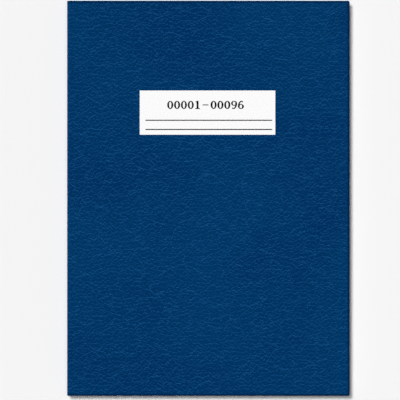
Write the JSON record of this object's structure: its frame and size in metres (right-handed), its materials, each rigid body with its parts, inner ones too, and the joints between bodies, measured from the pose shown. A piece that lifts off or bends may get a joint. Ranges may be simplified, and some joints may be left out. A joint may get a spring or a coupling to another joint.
{
  "type": "ledger book",
  "caption": "Hardcover ledger book with a leatherette case, a white label, and a sewn block of ruled leaves; the covers open and the first leaves turn.",
  "frame": {"origin": "under the middle of the closed book, on the surface that its back cover lies on", "axes": "+X from the spine to the fore-edge, +Y from the tail to the head, +Z from the back cover to the front cover"},
  "size_m": [0.2132, 0.298, 0.0145],
  "materials": {
    "leatherette": "satin",
    "greyboard": "matte",
    "spine_card": "matte",
    "endpaper": "matte",
    "ruled_paper": "matte",
    "mull": "matte",
    "kraft_paper": "matte",
    "headband": "matte",
    "thread": "matte",
    "label_paper": "matte"
  },
  "bodies": {
    "back_cover": {"back_board": "greyboard", "back_cover_cloth": "leatherette", "back_joint_cloth": "leatherette", "back_mull_flange": "mull", "back_pastedown": "endpaper"},
    "text_block": {"section_1": "ruled_paper", "section_2": "ruled_paper", "section_3": "ruled_paper", "section_4": "ruled_paper", "section_5": "ruled_paper", "section_6": "ruled_paper", "sewing_thread_1": "thread", "sewing_thread_2": "thread", "sewing_thread_3": "thread", "sewing_thread_4": "thread", "sewing_thread_5": "thread", "mull_spine": "mull", "spine_lining": "kraft_paper", "headband_head": "headband", "headband_tail": "headband", "spine_strip": "spine_card", "spine_cloth": "leatherette", "front_joint_cloth": "leatherette", "front_endpaper_fold": "endpaper", "back_endpaper_fold": "endpaper"},
    "front_cover": {"front_board": "greyboard", "front_cover_cloth": "leatherette", "front_mull_flange": "mull", "front_pastedown": "endpaper", "label": "label_paper"},
    "front_flyleaf": {"front_flyleaf": "endpaper"},
    "back_flyleaf": {"back_flyleaf": "endpaper"},
    "leaf_1": {"leaf_1": "ruled_paper"},
    "leaf_2": {"leaf_2": "ruled_paper"},
    "leaf_3": {"leaf_3": "ruled_paper"},
    "leaf_4": {"leaf_4": "ruled_paper"}
  },
  "joints": [
    {"name": "back_cover_hinge", "type": "hinge", "parent": "back_cover", "child": "text_block", "pos_m": [-0.1038, 0, 0.00275], "axis": [0, 1, 0], "range_deg": [-90, 0], "deforming": ["back_joint_cloth"]},
    {"name": "front_cover_hinge", "type": "hinge", "parent": "text_block", "child": "front_cover", "pos_m": [-0.1038, 0, 0.01169], "axis": [0, -1, 0], "range_deg": [0, 179], "deforming": ["front_joint_cloth"]},
    {"name": "front_flyleaf_turn", "type": "hinge", "parent": "text_block", "child": "front_flyleaf", "pos_m": [-0.0974, 0, 0.01162], "axis": [0, -1, 0], "range_deg": [0, 180]},
    {"name": "leaf_1_turn", "type": "hinge", "parent": "text_block", "child": "leaf_1", "pos_m": [-0.0974, 0, 0.0115], "axis": [0, -1, 0], "range_deg": [0, 180]},
    {"name": "leaf_2_turn", "type": "hinge", "parent": "text_block", "child": "leaf_2", "pos_m": [-0.0974, 0, 0.01141], "axis": [0, -1, 0], "range_deg": [0, 180]},
    {"name": "leaf_3_turn", "type": "hinge", "parent": "text_block", "child": "leaf_3", "pos_m": [-0.0974, 0, 0.01132], "axis": [0, -1, 0], "range_deg": [0, 180]},
    {"name": "leaf_4_turn", "type": "hinge", "parent": "text_block", "child": "leaf_4", "pos_m": [-0.0974, 0, 0.01123], "axis": [0, -1, 0], "range_deg": [0, 180]},
    {"name": "back_flyleaf_turn", "type": "hinge", "parent": "text_block", "child": "back_flyleaf", "pos_m": [-0.0974, 0, 0.00282], "axis": [0, 1, 0], "range_deg": [0, 90]}
  ],
  "couplings": [
    {"joint": "front_flyleaf_turn", "follows": "front_cover_hinge", "ratio": 0.978},
    {"joint": "leaf_1_turn", "follows": "front_cover_hinge", "ratio": 0.962},
    {"joint": "leaf_2_turn", "follows": "front_cover_hinge", "ratio": 0.95},
    {"joint": "leaf_3_turn", "follows": "front_cover_hinge", "ratio": 0.938},
    {"joint": "leaf_4_turn", "follows": "front_cover_hinge", "ratio": 0.926},
    {"joint": "back_flyleaf_turn", "follows": "back_cover_hinge", "ratio": -0.5}
  ]
}
